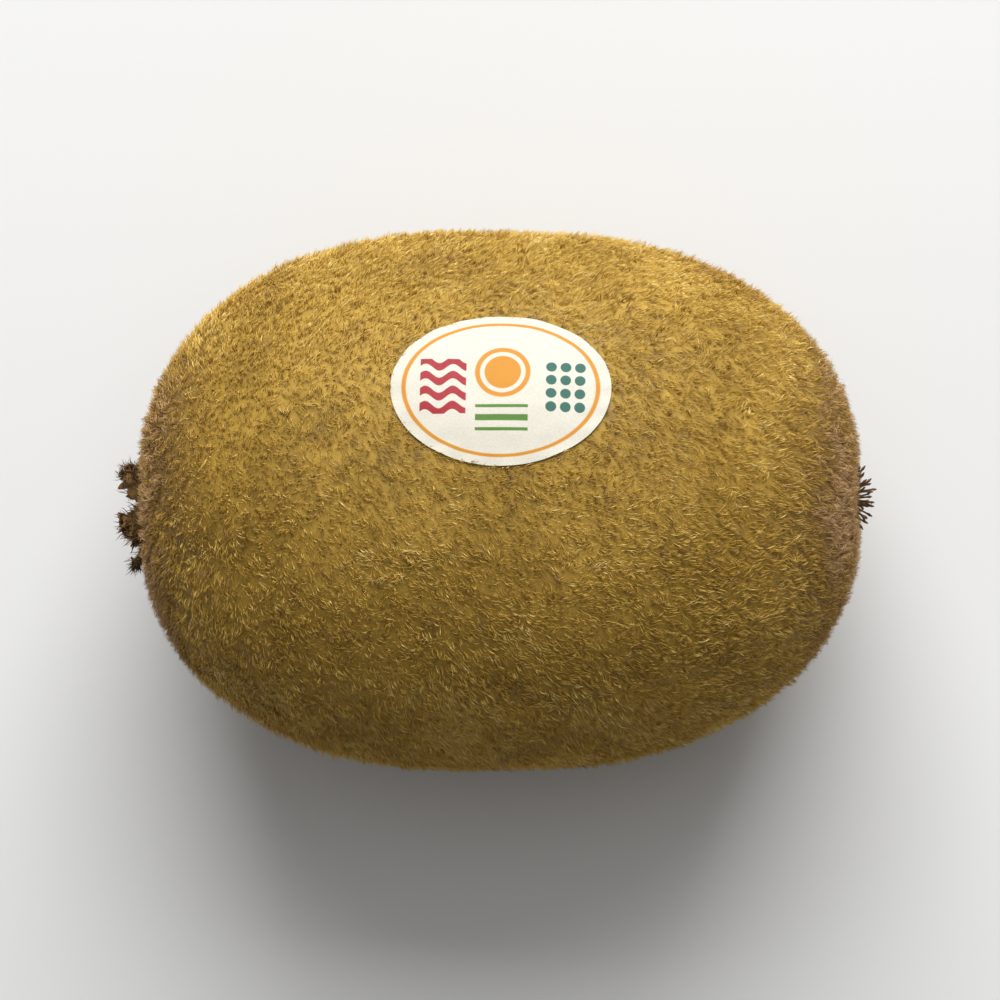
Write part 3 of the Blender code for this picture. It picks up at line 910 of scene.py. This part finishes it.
BLOSSOM_END = Matrix(((0, 0, 1), (0, -1, 0), (1, 0, 0))).to_4x4()
BLOSSOM_HOLLOW_DEPTH = 1.4 * MM
DISC_RADIUS = 1.75 * MM
DISC_HEIGHT = 1.3 * MM
DISC_RAISED = 0.2 * MM  # its middle, over the floor of the hollow
DISC_LUMPS = 0.8 * MM
DISC_LUMP_HEIGHT = 0.35 * MM
STYLES = 38
STYLE_LENGTH = 2.9 * MM
STYLE_RADIUS = 0.13 * MM
STYLE_CUTS = 9
STYLE_LEAN = (math.radians(6), math.radians(62))  # in the middle of the tuft and at its rim
STYLE_SPREAD = 0.62  # of the disc, which the roots of the tuft cover
STYLE_ROOT_HEIGHT = (0.75 * MM, 0.3 * MM)  # in the middle, and how much lower at the rim
GOLDEN_ANGLE = math.radians(137.508)

STYLE_BLACK = (40, 28, 18)
STYLE_BROWN = (112, 82, 50)

blossom_place = Matrix.Translation((END_SHIFT + END_PLACE, AXIS_SIDE, AXIS_HEIGHT))
blossom_frame = blossom_place @ BLOSSOM_END

bpy.ops.mesh.primitive_uv_sphere_add(segments=40, ring_count=20, radius=DISC_RADIUS)
disc = bpy.context.object
disc.name = "style_disc"
disc.data.transform(
    Matrix.Translation((0, 0, -BLOSSOM_HOLLOW_DEPTH + DISC_RAISED))
    @ Matrix.Diagonal((1, 1, DISC_HEIGHT / DISC_RADIUS, 1))
)
lumps = cloud("disc", DISC_LUMPS, 3)
add_modifier(disc, "DISPLACE", texture=lumps, strength=DISC_LUMP_HEIGHT, mid_level=0.5)
apply_modifiers(disc)
disc.data.shade_smooth()
disc.data.transform(blossom_frame)

bpy.ops.mesh.primitive_cylinder_add(vertices=7, radius=1, depth=1, location=(0, 0, 0.5))
bristle = bpy.context.object
bpy.ops.object.transform_apply(location=True)
bpy.ops.object.mode_set(mode="EDIT")
for step in range(1, STYLE_CUTS):
    bpy.ops.mesh.select_all(action="SELECT")
    bpy.ops.mesh.bisect(plane_co=(0, 0, step / STYLE_CUTS), plane_no=(0, 0, 1))
bpy.ops.object.mode_set(mode="OBJECT")


def style_girth(share):
    """A bristle's width along its length: it thins towards the neck, under a blunt knob."""
    knob = 0.75 * math.exp(-(((share - 0.93) / 0.08) ** 2))
    rounded_tip = 0.55 * (share > 0.99)
    return 1.15 - 0.5 * share + knob - rounded_tip


def make_style(number, chance):
    """One bristle, at its place on the spiral: leant outwards, bent and swayed."""
    share = math.sqrt((number + 0.5) / STYLES)
    lean = STYLE_LEAN[0] + (STYLE_LEAN[1] - STYLE_LEAN[0]) * share + math.radians(chance.uniform(-9, 9))
    long = STYLE_LENGTH * chance.uniform(0.7, 1.12)
    bend = chance.uniform(-0.25, 0.45) * long
    sway = chance.uniform(-0.25, 0.25) * long
    mesh = bristle.data.copy()
    for vert in mesh.vertices:
        up = vert.co.z
        girth = STYLE_RADIUS * style_girth(up)
        vert.co = (vert.co.x * girth + bend * up**2, vert.co.y * girth + sway * up**2, long * up)
    middle_height, rim_drop = STYLE_ROOT_HEIGHT
    root_height = -BLOSSOM_HOLLOW_DEPTH + middle_height - rim_drop * share
    root = Vector((STYLE_SPREAD * DISC_RADIUS * share, 0, root_height))
    leant = Matrix.Translation(root) @ Matrix.Rotation(lean, 4, "Y")
    mesh.transform(blossom_frame @ Matrix.Rotation(number * GOLDEN_ANGLE, 4, "Z") @ leant)
    style = bpy.data.objects.new(f"style_{number}", mesh)
    bpy.context.scene.collection.objects.link(style)
    return style


style_chance = random.Random(11)
bpy.ops.object.select_all(action="DESELECT")
tuft = [make_style(number, style_chance) for number in range(STYLES)]
for style in tuft:
    style.select_set(True)
bpy.context.view_layer.objects.active = tuft[0]
bpy.ops.object.join()
styles = tuft[0]
styles.name = "style_tuft"
styles.data.shade_smooth()
bpy.ops.object.select_all(action="DESELECT")
bpy.data.objects.remove(bristle)

tree, place = start_material("dry style")
husk = noise_of(tree, place, 1900, 4, 0.65)
style_colour = ramp_of(tree, husk, [(0.35, STYLE_BLACK), (0.62, STYLE_BROWN)])
dry_style = finish_material("dry style", style_colour, 0.7, husk, 0.06, Specular_IOR_Level=0.3)
hand_over(disc, dry_style, "dry_styles", "styles")
hand_over(styles, dry_style, "dry_styles")

bpy.data.objects.remove(fruit_form)


# The studio: a plain pale floor, a large soft light from the far side, which is the top of the
# picture, a weak fill, and the camera nearly straight above the fruit, as the photograph was taken.

CAMERA_DISTANCE = 0.7
CAMERA_SIDE = Vector((46, -40, 700))  # the direction from the fruit to the camera
FRUIT_SHARE = 0.75  # of the picture's width
SENSOR_WIDTH = 36
FLOOR_GREYS = [(0.3, (212, 212, 211)), (0.7, (217, 217, 216))]
WINDOW_PLACE = (0.06, 0.72, 0.60)  # in metres, as are the sizes of the lights
WINDOW_POWER = 15.5
OVERHEAD_PLACE = (0.1, 0.2, 1.1)
OVERHEAD_POWER = 2
LIGHT_SIZE = 0.8
ROOM_LIGHT = 0.21  # from all round

bpy.ops.mesh.primitive_plane_add(size=4)
floor = bpy.context.object
floor.name = "floor"
tree, place = start_material("pale floor")
floor_tone = ramp_of(tree, noise_of(tree, place, 3, 2), FLOOR_GREYS)
floor.data.materials.append(finish_material("pale floor", floor_tone, 0.9))


def soft_light(name, place, size, power):
    data = bpy.data.lights.new(name, "AREA")
    data.shape = "SQUARE"
    data.size = size
    data.energy = power
    light = bpy.data.objects.new(name, data)
    bpy.context.scene.collection.objects.link(light)
    light.location = place
    towards_fruit = Vector((0, 0, AXIS_HEIGHT)) - Vector(place)
    light.rotation_euler = towards_fruit.to_track_quat("-Z", "Y").to_euler()


soft_light("window", WINDOW_PLACE, LIGHT_SIZE, WINDOW_POWER)
soft_light("overhead", OVERHEAD_PLACE, LIGHT_SIZE, OVERHEAD_POWER)

world = bpy.data.worlds.new("studio")
world.use_nodes = True
background = world.node_tree.nodes["Background"]
background.inputs["Color"].default_value = (1, 1, 1, 1)
background.inputs["Strength"].default_value = ROOM_LIGHT
bpy.context.scene.world = world
bpy.context.scene.view_settings.view_transform = "Standard"

box_low, box_high = (Vector(corner) for corner in cad_box)
aim = (box_low + box_high) / 2
back = CAMERA_SIDE.normalized()
up = (Vector((0, 1, 0)) - back * back.y).normalized()
right = up.cross(back)
camera_data = bpy.data.cameras.new("camera")
camera_data.sensor_width = SENSOR_WIDTH
camera_data.lens = SENSOR_WIDTH * CAMERA_DISTANCE * FRUIT_SHARE / (box_high.x - box_low.x)
camera = bpy.data.objects.new("camera", camera_data)
bpy.context.scene.collection.objects.link(camera)
facing = Matrix((right, up, back)).transposed().to_4x4()
camera.matrix_world = Matrix.Translation(aim + back * CAMERA_DISTANCE) @ facing
bpy.context.scene.camera = camera
